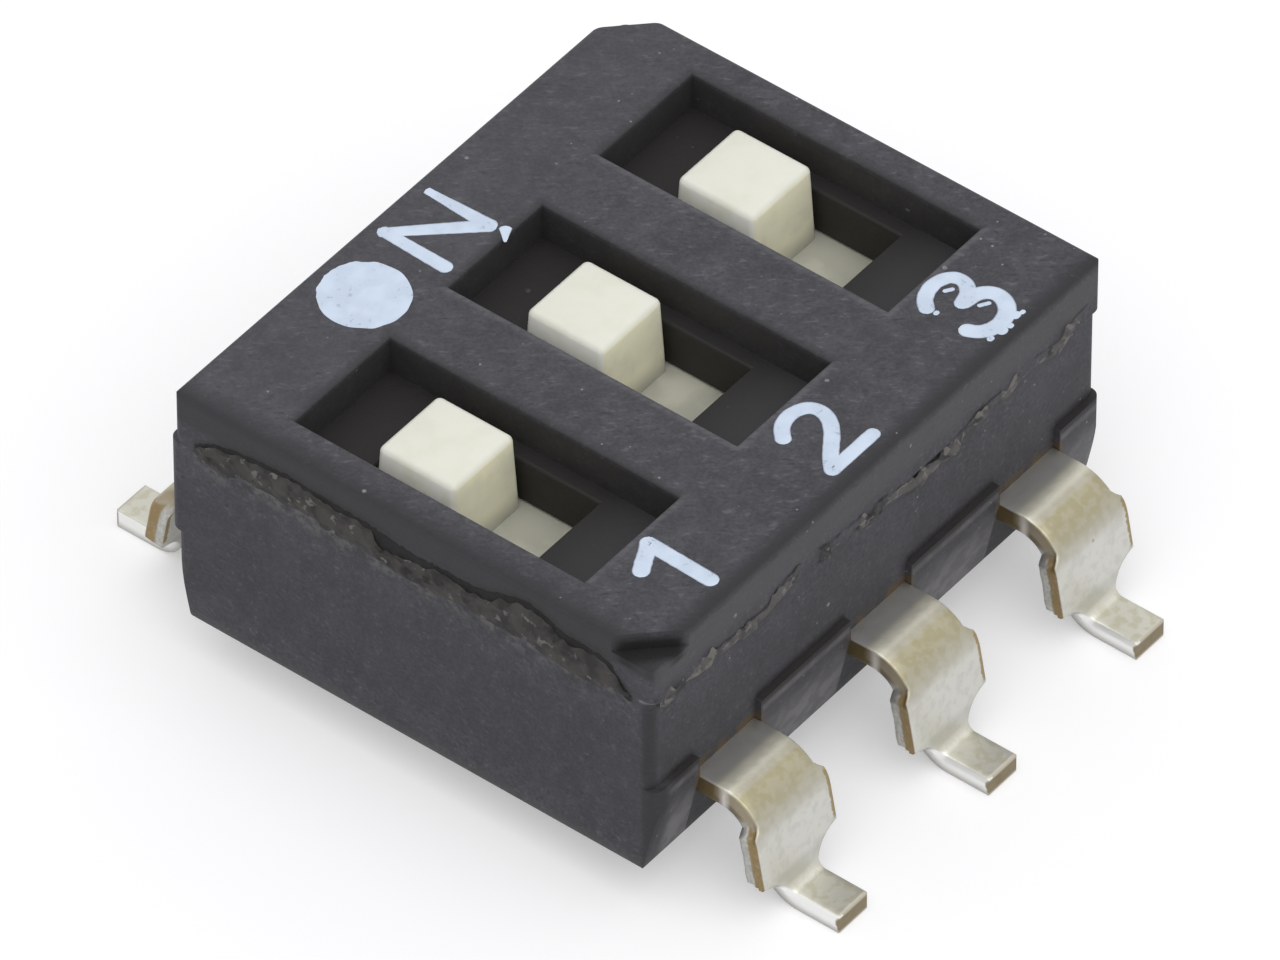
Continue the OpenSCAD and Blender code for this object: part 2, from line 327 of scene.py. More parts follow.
def smooth_skin(solid):
    """Shades a solid smooth, except across its sharp creases."""
    shade_smooth(solid)
    weld = solid.modifiers.new("weld", "WELD")
    weld.merge_threshold = SAME_POINT * MM
    split = solid.modifiers.new("creases", "EDGE_SPLIT")
    split.split_angle = radians(CREASE)
    solid.modifiers.new("flats", "WEIGHTED_NORMAL")


def dress(finish, *pieces):
    """Gives pieces one material in place of their own."""
    for piece in pieces:
        piece.data.materials.clear()
        piece.data.materials.append(finish.material)


moulded = [solid for name, solid in solids.items() if not name.startswith("terminal")]
for solid in moulded:
    smooth_skin(solid)
print("smoothed", len(moulded), "solids")

# %% [markdown]
# ## The weld line
#
# Lid and tray were welded by ultrasound, and the plastic that ran out froze as a ragged bead
# on the seam. On the long left side it is a wide crust with a dark gap above it, and on the
# front it is a thin broken ridge with larger crumbs on it. Each edge is kept as pairs of a
# place along its wall and its height there, which shape the bead and paint the plastic round
# it. The front is longer than the side, so its places are stored shortened to fit the same
# curve. A crumb has a place and half its length.

# %% Lines of the weld
GAP_TOP = [
    (-2.9, 3.02), (-2.78, 3.12), (-2.6, 3.34), (-2.45, 3.4), (-2.0, 3.4), (-1.78, 3.5),
    (-1.55, 3.57), (-1.28, 3.51), (-1.0, 3.4), (-0.75, 3.36), (-0.4, 3.36), (0.0, 3.34),
    (0.3, 3.38), (0.6, 3.42), (1.1, 3.43), (1.6, 3.47), (2.1, 3.43), (2.6, 3.33), (2.95, 3.12)
]
CRUST_TOP = [
    (-2.9, 3.0), (-2.78, 3.04), (-2.67, 3.2), (-2.51, 3.33), (-2.32, 3.34), (-2.05, 3.28),
    (-1.75, 3.44), (-1.55, 3.51), (-1.29, 3.45), (-1.03, 3.3), (-0.77, 3.24), (-0.55, 3.27),
    (-0.37, 3.3), (-0.1, 3.24), (0.16, 3.19), (0.4, 3.16), (0.49, 3.21), (0.53, 3.35),
    (0.75, 3.37), (1.14, 3.36), (1.47, 3.42), (1.67, 3.42), (2.14, 3.38), (2.61, 3.28),
    (2.94, 3.07)
]
CRUST_FOOT = [
    (-2.9, 2.98), (-2.6, 2.95), (-2.27, 2.8), (-1.94, 2.86), (-1.42, 2.88), (-0.76, 2.94),
    (0.0, 2.86), (0.62, 2.92), (1.35, 2.92), (1.95, 2.96), (2.52, 2.86), (2.94, 3.0)
]
FRONT_RIDGE = [
    (-3.1, 3.07), (-2.6, 3.12), (-2.1, 3.04), (-1.6, 3.02), (-1.45, 3.15), (-1.15, 3.2),
    (-0.7, 3.13), (-0.3, 3.1), (0.1, 3.07), (0.55, 2.94), (0.78, 2.93), (1.4, 3.1), (1.7, 3.08),
    (2.2, 3.14), (2.55, 3.04), (2.8, 3.2), (3.05, 3.22)
]
FRONT_SCALE = 0.84
CRUMBS = (
    (-3.45, 0.24), (-2.95, 0.27), (-2.2, 0.15), (-1.6, 0.32), (-0.95, 0.12), (-0.15, 0.28),
    (0.63, 0.25), (1.24, 0.2), (1.72, 0.13), (2.2, 0.2), (3.1, 0.3)
)


def height_at(line, along):
    """The height of a broken line at a place along the wall."""
    for (a, low), (b, high) in zip(line, line[1:]):
        if along <= b:
            return low + (high - low) * max(0, (along - a) / (b - a))
    return line[-1][1]


def ridge_height(along):
    """The height of the ridge at a place along the front."""
    return height_at(FRONT_RIDGE, along * FRONT_SCALE)


print("the crust runs from", CRUST_TOP[0][0], "to", CRUST_TOP[-1][0], "mm along the side")

# %% [markdown]
# ## Black plastic
#
# The moulded plastic is a dark grey with a faint blue in it. Its finish is laid on in steps,
# as a model painter would: a ground, then shades, then wear. Each step is a mask that depends
# only on where a point is on the part, and a tone that shows where the mask is 1. The ground
# has clouds of three sizes and short slanting scuffs, and it is lighter at the ON end.

# %% Lay the ground
BLACK = tone(59, 59, 64)
BLACK_PALE = tone(79, 79, 85)
BLACK_DEEP = tone(42, 40, 40)
SCUFF_SIZE = (0.11, 0.045, 0.045)
SCUFF_TURN = radians(-52)

black = Finish("black_plastic_welded", Roughness=0.55, Specular_IOR_Level=0.25)
x, y, z = black.x, black.y, black.z
upward = black.facing(2).rise(0.5, 0.8)
own = black.own_x()
cloud = black.grain(1.6, 4)
mottle = black.grain(5, 4)
fine = black.grain(30, 3)
pale = (cloud * 0.25 + mottle * 0.35 + fine * 0.4).rise(0.33, 0.67)
colour = pale.tint(BLACK, BLACK_PALE)

scuff = black.streaks(SCUFF_SIZE, 3.0, SCUFF_TURN, "TEXTURE")
patchy = 0.2 + 0.5 * mottle.rise(0.42, 0.6)
colour = (scuff.rise(0.56, 0.7) * patchy).tint(colour, tone(98, 98, 103))
colour = (scuff.fall(0.3, 0.43) * patchy).tint(colour, tone(50, 50, 54))
colour = (y.rise(1.2, 2.6) * upward * 0.2).tint(colour, tone(86, 86, 90))
print("the ground takes", len(black.tree.nodes), "nodes")

# %% [markdown]
# The windows are painted darker than the top, as shade in their recess, and their floors are
# painted deepest away from the numbers.
# `rim` is how far a point lies outside the outline of its window, so it is below 0 inside.
# On the top face the rims towards ON and towards the last switch carry painted shade. The
# opposite rims carry a pale lip, partly wear and partly painted highlight, apart from the one at
# the left edge of the lid.

# %% Darken the windows and their rims
rim = (abs(own) - WINDOW_W / 2).most(abs(y) - WINDOW_L / 2)
# painted shade: the walls and floors inside the windows are darkened
sunk = rim.fall(-0.005, 0.01) * z.fall(TOP - 0.09, TOP - 0.02) * z.rise(2.2, 2.3)
sunk = sunk * abs(x).fall(SIDE - 0.3, SIDE - 0.2)
window_floor_shade = y.fall(-1.75, -0.9).tint(BLACK_DEEP, tone(57, 57, 59))
colour = sunk.tint(colour, upward.tint(tone(49, 47, 45), window_floor_shade))

shady = (own - WINDOW_W / 2).most(y - WINDOW_L / 2)
lit = (0 - own - WINDOW_W / 2).most(0 - y - WINDOW_L / 2)
brim = z.rise(TOP - 0.06, TOP - 0.03) * rim.rise(-0.01, 0)
# painted shade on the rims that turn away from the light
dark_rim = brim * rim.fall(0, 0.13) * (shady - lit).rise(-0.02, 0.02)
colour = (dark_rim * 0.65).tint(colour, tone(50, 49, 51))
# painted highlight on the rims that face the light, broken up by scuffs as wear
worn_and_lit_lip = brim * rim.near(0.05, 0.07) * (lit - shady).rise(-0.02, 0.02)
worn_and_lit_lip = worn_and_lit_lip * x.rise(-3.34, -3.3)
colour = (worn_and_lit_lip * (0.35 + 0.4 * scuff.rise(0.4, 0.6))).tint(colour, tone(94, 93, 97))
print("the windows are", WINDOW_W, "by", WINDOW_L, "mm")

# %% [markdown]
# The rounded edges over the left side and over the front are painted as dark bands of shade, and
# the front of the lid has a paler band below its edge. The walls of the tray are darker in the
# middle, and at their foot a painted glow stands for the light thrown up from the sheet.

# %% Shade the edges and the walls
left_edge = x.fall(-SIDE - 0.02, -SIDE + 0.36)
front_edge = y.fall(-FRONT + 0.04, -FRONT + 0.29)
# painted shade: dark bands along the rounded edges of the lid
edges = (front_edge * z.rise(TOP - 0.11, TOP - 0.02)).most(left_edge * z.rise(3.34, 3.44))
colour = (edges * 0.9).tint(colour, upward.tint(tone(55, 54, 56), tone(47, 46, 49)))
front = y.fall(-FRONT + 0.02, -FRONT + 0.06)
band = front * z.rise(3.12, 3.36) * z.fall(TOP - 0.16, TOP - 0.06)
colour = (band * 0.6).tint(colour, tone(84, 83, 85))
colour = (z.rise(0.9, 1.2) * z.fall(2.3, 2.7) * 0.3).tint(colour, tone(56, 55, 57))
# painted light: the foot of the walls is lighter, as if lit from the sheet
colour = (z.fall(0.55, 0.8) * 0.62).tint(colour, tone(92, 89, 87))
print("edges shaded")

# %% [markdown]
# The wall is tinted brown round the roots of the terminals, where they leave the tray. Pale dust
# in two sizes of speck lies on all of it, less in the windows. The dust and the scuffs stand up a
# little, so they go into the bumps too.

# %% Tint the roots and strew the dust
ROOT_HEIGHT = 1.46

root = abs(own).fall(0.5, 0.62) * abs(y).rise(FRONT - 0.25, FRONT - 0.12)
root = root * abs(z - ROOT_HEIGHT).fall(0.06, 0.22)
colour = (root * mottle.rise(0.3, 0.6) * 0.8).tint(colour, tone(100, 80, 50))
dust = black.specks(6, 0.014, 0.24).most(black.specks(2.4, 0.026, 0.34))
dusty = dust * (1 - sunk * 0.8) * fine.rise(0.35, 0.5)
colour = (dusty * 0.9).tint(colour, tone(140, 140, 143))
bumps = mottle * 0.5 + fine * 0.35 + dust * 0.3 + scuff * 0.4
print("roots browned at", ROOT_HEIGHT, "mm")

# %% [markdown]
# The halves of the tray's mould sat a little apart. The lower half stands out between the
# terminals as pads with a narrow ledge on top. The ledge, the wall just over it and the brink
# below it are painted nearly black as shade, and the faces of the pads are rubbed pale.

# %% Shade the ledge and rub the pads
LEDGE = 1.78

side = abs(y).rise(FRONT - 0.35, FRONT - 0.3) * x.rise(-SIDE + 0.15, -SIDE + 0.4)
between = side * abs(own).rise(0.51, 0.535)
wall_shade = z.rise(LEDGE - 0.02, LEDGE + 0.01) * z.fall(LEDGE, LEDGE + 0.17)
brink = (1 - upward) * z.rise(LEDGE - 0.09, LEDGE - 0.03) * z.fall(LEDGE, LEDGE + 0.01)
under = (upward * z.near(LEDGE, 0.15)).most(brink)
shade = (under * 0.85).most(wall_shade * (0.6 + 0.25 * mottle.rise(0.4, 0.6)))
# painted shade on the ledge, on the wall over it and on the brink under it
colour = (between * shade).tint(colour, tone(45, 42, 41))
pad = side * abs(own).rise(0.53, 0.545) * z.fall(LEDGE - 0.09, LEDGE - 0.03)
rubbed = (z.fall(0.9, 1.7) * 0.9).most(z.near(1.66, 0.08) * 0.4)
rubbed = pad * rubbed * (0.65 + 0.5 * mottle.rise(0.4, 0.6))
colour = rubbed.tint(colour, tone(126, 124, 126))
print("ledge at", LEDGE, "mm")

# %% [markdown]
# The lid's notched corner holds a shadow in the shape of a half-closed eye, and the upright
# corner under it is shaded. Beside it the rim of the tray shows as a short bright lip.
# `from_corner` is how far a point lies from the corner, counted along both walls.

# %% Shade the notched corner
from_corner = x + y + (SIDE + FRONT)
upright = from_corner.fall(0.13, 0.21) * z.fall(2.94, 3.04)
colour = (upright * 0.7).tint(colour, tone(46, 46, 48))
aside = abs(x - y + (SIDE - FRONT)).fall(0.38, 0.6)
eye = from_corner.rise(0.16, 0.4) * from_corner.fall(0.6, 0.62)
eye = eye * z.fall(3.6, 3.74) * z.rise(3.4, 3.46)
colour = (eye * aside * 0.9).tint(colour, tone(31, 29, 29))
left = x.fall(-SIDE + 0.02, -SIDE + 0.06)
lip = left * y.fall(-2.95, -2.88) * z.near(SEAM - 0.01, 0.035)
colour = (lip * mottle.rise(0.35, 0.5) * 0.8).tint(colour, tone(128, 126, 122))
print("corner shaded")

# %% [markdown]
# The weld is painted along its lines. A Float Curve node takes the place along the wall and
# gives back the height of the line there, and both have to be brought to 0 to 1 first. The
# curve starts with two points of its own, so the ends of the line go in before the rest.

# %% Turn a line of the weld into a curve
CURVE_REACH = 3.2
CURVE_LOW, CURVE_HIGH = 2.6, 3.8


def height_curve(line, along):
    """The height of a broken line, in millimetres, over a place on the part."""
    tall = CURVE_HIGH - CURVE_LOW
    points = [((a + CURVE_REACH) / (2 * CURVE_REACH), (b - CURVE_LOW) / tall) for a, b in line]
    ends_first = [points[0], points[-1]] + points[1:-1]
    share = (along + CURVE_REACH) / (2 * CURVE_REACH)
    curve = black.at.node("ShaderNodeFloatCurve", {"points": ends_first},
                          {"Factor": 1.0, "Value": share})
    return curve * tall + CURVE_LOW


print("a curve reaches", CURVE_REACH, "mm each way")

# %% [markdown]
# On the left the gap over the crust is nearly black with a soft shadow on the lid above it,
# and the ground under the crust is melted: flaky, with pale flakes and deep pits. On the
# front short dark chips lie over the ridge. Noise is added to the height before it is
# compared with a line, and that makes every one of these edges ragged.

# %% Paint the weld and dress the body
GAP = tone(22, 20, 19)
CRUST_BROWN = tone(68, 65, 63)
CRUST_PALE = tone(112, 110, 107)

ragged_z = z + (black.grain(14, 3) - 0.5) * 0.1
wall = left * abs(y).fall(2.86, 2.92)
above = ragged_z - height_curve(GAP_TOP, y)
brow = wall * above.rise(-0.03, -0.01) * above.fall(0.01, 0.12)
colour = (brow * 0.5).tint(colour, tone(40, 38, 38))
gap = wall * above.fall(-0.012, 0.012)
gap = gap * (ragged_z - height_curve(CRUST_TOP, y)).rise(-0.07, -0.05)
melt = wall * above.fall(-0.02, 0)
melt = melt * (ragged_z - height_curve(CRUST_FOOT, y)).rise(-0.16, 0.05)
flakes = black.grain(7, 5)
colour = (melt * flakes.rise(0.46, 0.62) * 0.55).tint(colour, CRUST_PALE)
colour = (melt * flakes.fall(0.36, 0.44) * 0.4).tint(colour, BLACK_DEEP)
colour = gap.tint(colour, GAP)
bumps = bumps + melt * flakes * 3 - gap * 3
over_ridge = ragged_z - height_curve(FRONT_RIDGE, x * FRONT_SCALE)
chips = front * over_ridge.near(0.05, 0.045) * black.grain(2.4, 2).rise(0.44, 0.54)
colour = (chips * 0.85).tint(colour, GAP)
bumps = bumps - chips * 2

black.feed("Base Color", colour)
black.feed("Roughness", 0.5 + mottle * 0.16)
black.relief(bumps, 0.55, 0.012)
dress(black, solids["cover"], solids["base"])
print("black plastic has", len(black.tree.nodes), "nodes")

# %% [markdown]
# ## The crust of the weld
#
# Paint alone looks flat when the light comes from the side, so the crust is a piece of its
# own. It starts as a grid, and each of its points is set on the wall between the two lines
# and lifted by noise. Where the noise is low the grid dips under the wall, and that makes a
# natural broken outline. The ridge on the front is made the same way, but it is full only at
# its crumbs, which hang lower than the rest.

# %% Make a bead from a grid
BEAD_TAPER = 0.15
BETWEEN_CRUMBS = 0.3
CRUMB_DROP = 0.09


def deselect():
    bpy.ops.object.select_all(action="DESELECT")


def flake(along, height):
    """Rough lumps from 0 to 1, the same on every run."""
    point = Vector((along * 3.6, height * 6.5, 1.7))
    return noise.fractal(point, 0.9, 2.1, 4) * 0.8 + 0.5


def fullness(along):
    """How full the ridge is at a place: 1 at a crumb and less between crumbs."""
    return max(BETWEEN_CRUMBS, *[1 - (abs(along - place) / half) ** 3 for place, half in CRUMBS])


def weld_bead(name, wall, span, top_of, foot_of, lift, sink=0.012, jagged=0.05, broken=False):
    """A crust on a wall: a grid of points between two lines, lifted by noise."""
    deselect()
    bpy.ops.mesh.primitive_grid_add(x_subdivisions=260, y_subdivisions=12, size=1)
    bead = bpy.context.object
    bead.name = name
    for vertex in bead.data.vertices:
        along = span[0] + (span[1] - span[0]) * (vertex.co.x + 0.5)
        share = vertex.co.y + 0.5
        full = fullness(along) if broken else 1
        low = foot_of(along) - (CRUMB_DROP * full if broken else 0)
        high = top_of(along) + noise.noise(Vector((along * 9, 0.3, 5))) * jagged
        height = low + (high - low) * share
        ends = min(1, (along - span[0]) / BEAD_TAPER, (span[1] - along) / BEAD_TAPER)
        shape = min(1, share * 2.2) * (1 if share < 0.97 else 0) * ends
        out = -sink + lift * shape * full * (0.35 + 0.9 * flake(along, height))
        vertex.co = Vector(wall(along, height, out)) * MM
    shade_smooth(bead)
    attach(bead, "housing")
    return bead


print("the ridge has", len(CRUMBS), "crumbs")

# %% [markdown]
# The two walls lie in different planes, so each has a small function that turns a place along
# it, a height and a lift into a point. The ridge keeps close to its one line.

# %% Model the crust and the ridge
def left_wall(along, height, out):
    return (-SIDE - out, along, height)


def front_wall(along, height, out):
    return (along, -FRONT - out, height)


crust = weld_bead("weld_crust", left_wall, (-2.88, 2.92),
                  lambda a: height_at(CRUST_TOP, a), lambda a: height_at(CRUST_FOOT, a), 0.045)
ridge = weld_bead("weld_ridge", front_wall, (-3.66, 3.6),
                  lambda a: ridge_height(a) + 0.035, lambda a: ridge_height(a) - 0.1, 0.064,
                  sink=0.024, jagged=0.12, broken=True)
for bead in (crust, ridge):
    print(bead.name, len(bead.data.polygons), "faces")

# %% [markdown]
# The crust is the same plastic, melted and torn. It is lighter and browner on its flakes and
# dark in its pits, and it is rough all over. The ridge is torn more than melted, so it is
# greyer and a step lighter.

# %% Paint the crust and the ridge
def melted_plastic(name, deep, brown, pale, share):
    """Torn plastic: lumps from deep to brown, with pale flakes where noise passes a share."""
    finish = Finish(name, Roughness=0.65, Specular_IOR_Level=0.3)
    lumps = finish.grain(4.5, 4)
    flakes = finish.grain(8, 5)
    scorch = finish.grain(3, 3)
    colour = lumps.rise(0.36, 0.6).tint(deep, brown)
    colour = (flakes.rise(share, share + 0.07) * 0.85).tint(colour, pale)
    colour = (scorch.rise(0.56, 0.66) * flakes.fall(0.42, 0.55) * 0.8).tint(colour, GAP)
    finish.feed("Base Color", colour)
    finish.relief(lumps + flakes * 0.7 + finish.grain(34, 3) * 0.15, 0.8, 0.025)
    return finish


dress(melted_plastic("melted_plastic", tone(46, 44, 43), CRUST_BROWN, CRUST_PALE, 0.6), crust)
dress(melted_plastic("torn_ridge", tone(58, 57, 58), tone(91, 89, 88),
                     tone(117, 113, 109), 0.53), ridge)
print("crust and ridge painted")

# %% [markdown]
# ## Cream sliders
#
# The sliders are a satin cream nylon. Light goes a little way into it and comes out again, which
# subsurface scattering does here over 0.4 mm. The sides carry painted light: they are brighter
# than the top, the left ones whitest and the others warmer. The carriage below is painted darker
# as shade, and a faint mottle and a few dark specks keep it from looking like paint.

# %% Build the cream plastic
cream = Finish("cream_plastic_satin", Roughness=0.42, Specular_IOR_Level=0.45,
               Subsurface_Weight=0.3, Subsurface_Scale=0.4 * MM,
               Subsurface_Radius=(1.0, 0.9, 0.7))
veil = cream.grain(2.2, 4)
leftward = cream.facing(0).fall(-0.8, -0.4)
# painted light: the sides are brighter than the top, the left sides whitest
sides = leftward.tint(tone(255, 250, 219), tone(255, 255, 244))
colour = cream.facing(2).rise(0.2, 0.8).tint(sides, tone(229, 229, 217))
# painted shade: the carriage below is darker
colour = cream.z.fall(2.62, 3.0).tint(colour, tone(178, 177, 164))
colour = (veil.rise(0.45, 0.65) * 0.35).tint(colour, tone(218, 217, 200))
colour = (cream.specks(1.6, 0.02, 0.12) * 0.7).tint(colour, tone(120, 112, 90))
cream.feed("Base Color", colour)
cream.relief(cream.grain(24, 3), 0.15, 0.006)
dress(cream, *[solids[f"slider_{i}"] for i in (1, 2, 3)])
print("sliders dressed")

# %% [markdown]
# ## Spring contacts
#
# Under each slider a bowed strip of rolled brass carries the current. It is hidden in use, so
# its finish is a plain one: fine rolling lines along the strip.

# %% Build the spring brass
spring = Finish("rolled_brass", Roughness=0.32, Metallic=1.0)
rolling = spring.streaks((26, 1.2, 26), 2.0)
spring.feed("Base Color", rolling.rise(0.3, 0.7).tint(tone(196, 160, 98), tone(222, 190, 128)))
spring.feed("Roughness", 0.26 + rolling * 0.14)
dress(spring, *[solids[f"contact_{i}"] for i in (1, 2, 3)])
print("contacts dressed")

# %% [markdown]
# ## Terminals
#
# Each terminal is blanked from tin-plated strip and then bent, like a paper strip folded
# twice. A modeller could cut the outline from a plane and bend it with a modifier. Here the
# strip is followed section by section instead, because each section keeps its exact width,
# thickness and direction. First comes the path of the middle of the sheet, seen from the
# side: a level run, the knee, a leaning leg, the ankle and the foot. Each bend has its middle
# and its radius, and the leg leans as a line does that touches both circles.

# %% The bent path of a terminal
SHEET = 0.25
KNEE_OUT, KNEE_UP, KNEE_RADIUS = 3.46, 0.91, 0.475
ANKLE_OUT, ANKLE_UP, ANKLE_RADIUS = 4.29, 0.37, 0.245
TOE = 4.83
KNEE_STEPS, LEG_STEPS, ANKLE_STEPS = 14, 25, 12
sideways, down = ANKLE_OUT - KNEE_OUT, KNEE_UP - ANKLE_UP
LEAN = asin((KNEE_RADIUS + ANKLE_RADIUS) / hypot(sideways, down)) + atan2(down, sideways)


def sheet_path(inner):
    """Places along the middle of the sheet: out from the body, up, and how far it leans."""
    path = [(out, KNEE_UP + KNEE_RADIUS, 0.0) for out in (inner, inner + 0.02, 2.9, 3.2)]
    for i in range(KNEE_STEPS + 1):
        turn = LEAN * i / KNEE_STEPS
        path.append((KNEE_OUT + KNEE_RADIUS * sin(turn), KNEE_UP + KNEE_RADIUS * cos(turn), turn))
    last = path[-1]
    first = (ANKLE_OUT - ANKLE_RADIUS * sin(LEAN), ANKLE_UP - ANKLE_RADIUS * cos(LEAN))
    for i in range(1, LEG_STEPS + 1):
        path.append((last[0] + (first[0] - last[0]) * i / LEG_STEPS,
                     last[1] + (first[1] - last[1]) * i / LEG_STEPS, LEAN))
    for i in range(1, ANKLE_STEPS + 1):
        turn = LEAN * (1 - i / ANKLE_STEPS)
        path.append((ANKLE_OUT - ANKLE_RADIUS * sin(turn), ANKLE_UP - ANKLE_RADIUS * cos(turn),
                     turn))
    for out in (4.5, 4.65, 4.79, TOE - 0.015, TOE - 0.004, TOE):
        path.append((out, ANKLE_UP - ANKLE_RADIUS, 0.0))
    return path


print("the leg leans", round(degrees(LEAN), 1), "degrees from level")

# %% [markdown]
# The blank widens into an ear on each side and narrows through a hollow neck to the foot. Its
# width depends on the height above the board. A section of the sheet has rolled edges on the
# outer face, where the punch went in, and a nip on the inner one.

# %% The width and the section of a terminal
ROOT_HALF = 0.515
EAR_HALF = 0.615
EAR_TOP, EAR_SLOPE = 1.32, 0.09
FOOT_HALF = 0.215
NECK = 0.42
NECK_HEIGHT = 0.16
ROLL = 0.026
NIP = 0.008


def half_width(height):
    """Half the width of the blank at a height of its outer face."""
    if height > NECK_HEIGHT + NECK:
        widened = min(1, max(0, (EAR_TOP - height) / EAR_SLOPE))
        return ROOT_HALF + (EAR_HALF - ROOT_HALF) * widened
    hollow = sqrt(NECK ** 2 - (height - NECK_HEIGHT) ** 2)
    return min(EAR_HALF, FOOT_HALF + NECK - hollow)


def sheet_section(left, right, tight):
    """A closed section: (across, depth), from the outer face round to it again."""
    points = [(-left(0) + ROLL + (left(0) + right(0) - 2 * ROLL) * i / 8, 0) for i in range(9)]
    for turn in (30, 60, 90):
        a = radians(turn)
        points.append((right(0) - ROLL + ROLL * sin(a), ROLL - ROLL * cos(a)))
    points += [(right(i / 5), SHEET * i / 5) for i in (1, 2, 3, 4)]
    points += [(right(1), SHEET - NIP), (right(1) - NIP, SHEET)]
    points += [(right(1) - NIP - (left(1) + right(1) - 2 * NIP) * i / 8, SHEET)
               for i in range(1, 9)]
    points += [(-left(1), SHEET - NIP)] + [(-left(i / 5), SHEET * i / 5) for i in (4, 3, 2, 1)]
    for turn in (90, 60, 30):
        a = radians(turn)
        points.append((-left(0) + ROLL - ROLL * sin(a), ROLL - ROLL * cos(a)))
    points.append(points[0])
    return [(max(-left(0) + tight, min(right(0) - tight, x)) if tight else x,
             max(tight, min(SHEET - tight, d))) for x, d in points]


print("a terminal is", 2 * ROOT_HALF, "mm wide at its root and", 2 * EAR_HALF, "at the ears")

# %% [markdown]
# A grid has rows and columns, so it can be rolled into a tube: its rows are placed along the
# path and its columns round the section. The two long edges then meet and are merged, and
# the two open ends are filled. On one side the press left a torn tongue: the outline hangs
# lower there, most at a third of the sheet's depth. The depth of each point is kept as an
# attribute, which the finish reads to tell the plated faces from the torn edge.

# %% Form a terminal
TONGUE = 0.08
BURR = 0.08
TORN_BELOW = 1.25


def open_mesh():
    """Opens the active mesh with all of it selected."""
    bpy.ops.object.mode_set(mode="EDIT")
    bpy.ops.mesh.select_all(action="SELECT")


def turn_out_and_close():
    """Turns every face outward and leaves the mesh."""
    bpy.ops.mesh.select_all(action="SELECT")
    bpy.ops.mesh.normals_make_consistent(inside=False)
    bpy.ops.object.mode_set(mode="OBJECT")


def close_tube():
    """Merges the meeting edges of the tube, fills its ends and shades it."""
    open_mesh()
    bpy.ops.mesh.remove_doubles(threshold=0.0005 * MM)
    bpy.ops.mesh.select_all(action="DESELECT")
    bpy.ops.mesh.select_mode(type="EDGE")
    bpy.ops.mesh.select_non_manifold(extend=False, use_wire=False, use_boundary=True,
                                     use_multi_face=False, use_non_contiguous=False,
                                     use_verts=False)
    bpy.ops.mesh.fill_holes(sides=0)
    turn_out_and_close()
    bpy.ops.object.shade_smooth_by_angle(angle=radians(48))


def formed_terminal(name, inner, turned):
    """A terminal of the row that is turned to the numbers (-1) or to ON (1)."""
    path = sheet_path(inner)
    rounded_ends = {0: 0.015, len(path) - 2: 0.009, len(path) - 1: 0.018}
    columns = len(sheet_section(lambda d: 1, lambda d: 1, 0))
    deselect()
    bpy.ops.mesh.primitive_grid_add(x_subdivisions=columns - 1, y_subdivisions=len(path) - 1,
                                    size=2)
    piece = bpy.context.object
    piece.name = name
    depths = piece.data.attributes.new("sheet_depth", "FLOAT", "POINT")
    across = sorted({round(v.co.x, 4) for v in piece.data.vertices})
    along = sorted({round(v.co.y, 4) for v in piece.data.vertices})
    for vertex in piece.data.vertices:
        row = along.index(round(vertex.co.y, 4))
        column = across.index(round(vertex.co.x, 4))
        out, up, lean = path[row]
        height = up + SHEET / 2 * cos(lean)
        plain = half_width(height)
        torn = noise.noise(Vector((height * 9, 2.0, inner))) * 0.012
        torn *= min(1, max(0, (TORN_BELOW - height) * 8))

        def tongue(depth):
            drop = TONGUE + BURR * max(0, 1 - abs(depth - 0.3) * 2.5)
            return half_width(height + drop) - torn * depth

        section = sheet_section(lambda d: plain + torn * d, tongue, rounded_ends.get(row, 0))
        x, depth = section[column]
        lift = SHEET / 2 - depth
        out, up = out + lift * sin(lean), up + lift * cos(lean)
        depths.data[vertex.index].value = depth / SHEET
        vertex.co = Vector((x, out, up)) * MM if turned > 0 else Vector((-x, -out, up)) * MM
    close_tube()
    return piece


print("the tongue hangs", TONGUE, "mm lower")

# %% [markdown]
# One terminal of each row is formed and its neighbours are copies with meshes of their own.
# They take the place of the plain solids, which are hidden, and each one is named after the solid
# that it replaces.

# %% Form both rows
def copy_along(piece, name, step):
    """A copy with a mesh of its own, so many millimetres further along the row."""
    twin = piece.copy()
    twin.data = piece.data.copy()
    twin.name = name
    twin.data.transform(Matrix.Translation((step * MM, 0, 0)))
    bpy.context.scene.collection.objects.link(twin)
    return twin


terminals = []
for row, turned in (("a", -1), ("b", 1)):
    low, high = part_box(f"terminal_2{row}")
    inner = (low.y if turned > 0 else -high.y) / MM
    middle = formed_terminal(f"terminal_2{row}_formed", inner, turned)
    for number, step in ((1, -PITCH), (3, PITCH), (2, 0)):
        piece = copy_along(middle, f"terminal_{number}{row}_formed", step) if step else middle
        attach(piece, "housing")
        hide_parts(f"terminal_{number}{row}")
        terminals.append(piece)
print("formed", len(terminals), "terminals with", len(terminals[0].data.polygons), "faces each")

# %% [markdown]
# Tin plate is a soft, slightly yellow silver. Fingerprints and flux leave a tan bloom on the
# upper leg. The crest of the knee carries a painted highlight, the foot is paler, and the level
# run by the body is greyer with a painted reflection of the dark wall. The edges of these zones
# wander, because the height goes through a slow noise first.

# %% Tin the faces
TIN = tone(205, 204, 198)
TIN_BRIGHT = tone(219, 218, 211)
TAN = tone(172, 164, 134)

tin = Finish("tin_plate", Metallic=0.85)
x, y, z = tin.x, tin.y, tin.z
own = tin.own_x()
depth = tin.at.node("ShaderNodeAttribute", {"attribute_name": "sheet_depth"}, out="Fac")
smudge = tin.grain(2.1, 4)
fleck = tin.grain(9, 4)
wavy = z + (smudge - 0.5) * 0.1

